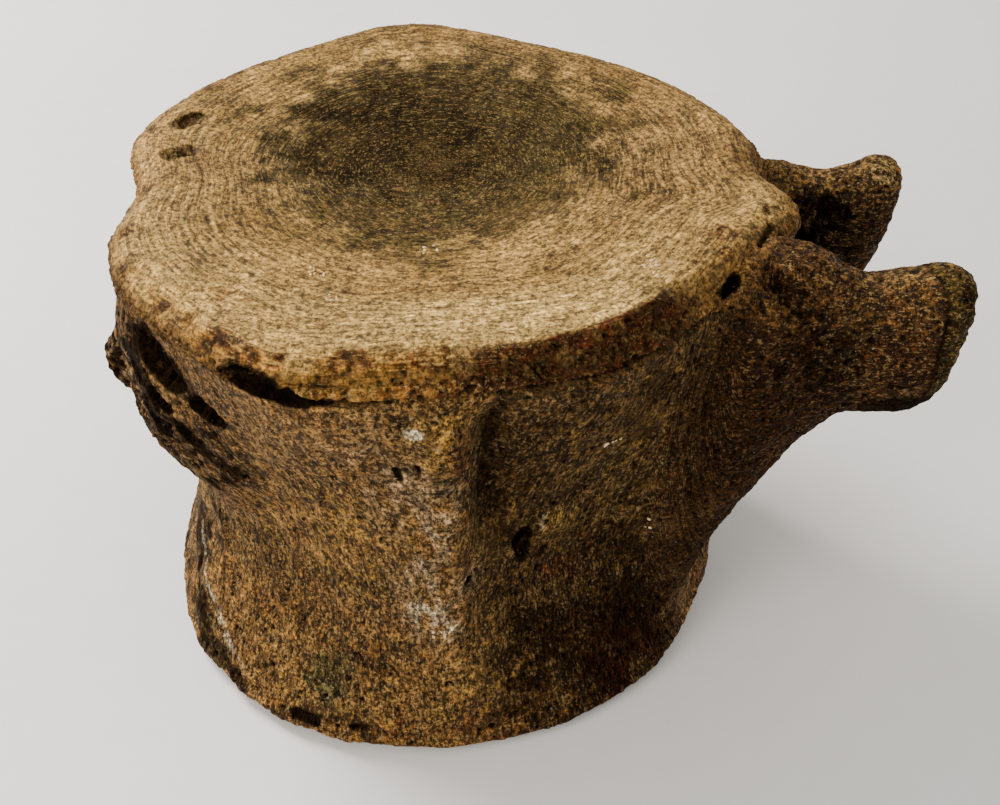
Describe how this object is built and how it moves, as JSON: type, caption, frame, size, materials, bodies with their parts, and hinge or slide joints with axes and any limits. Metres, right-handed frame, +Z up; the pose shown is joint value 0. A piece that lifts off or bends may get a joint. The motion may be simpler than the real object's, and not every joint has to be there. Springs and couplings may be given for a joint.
{
  "type": "whale caudal vertebra",
  "caption": "Weathered whale tail vertebra: a spool-shaped centrum with a dished end face, broken neural arch stumps and broken haemal stumps.",
  "frame": {"origin": "where the long axis of the centrum meets the flat caudal face on which the bone stands", "axes": "+Z up along the centrum towards its cranial face, +X dorsal, towards the stumps of the neural arch, -Y the animal's left"},
  "size_m": [0.2776, 0.2097, 0.1538],
  "materials": {
    "bone_side": null,
    "bone_face": "dry weathered bone, pale tan with fine concentric growth lines and a dark olive middle",
    "bone_stump": "dry weathered bone, dark reddish brown with open pores",
    "bone_broken": "broken spongy bone, very dark brown to black"
  },
  "bodies": {
    "root": {"centrum": "bone_side", "cranial_epiphysis": "bone_face", "caudal_epiphysis": "bone_side", "left_pedicle": "bone_stump", "right_pedicle": "bone_stump", "left_haemal_process": "bone_broken", "right_haemal_process": "bone_broken"}
  },
  "joints": []
}
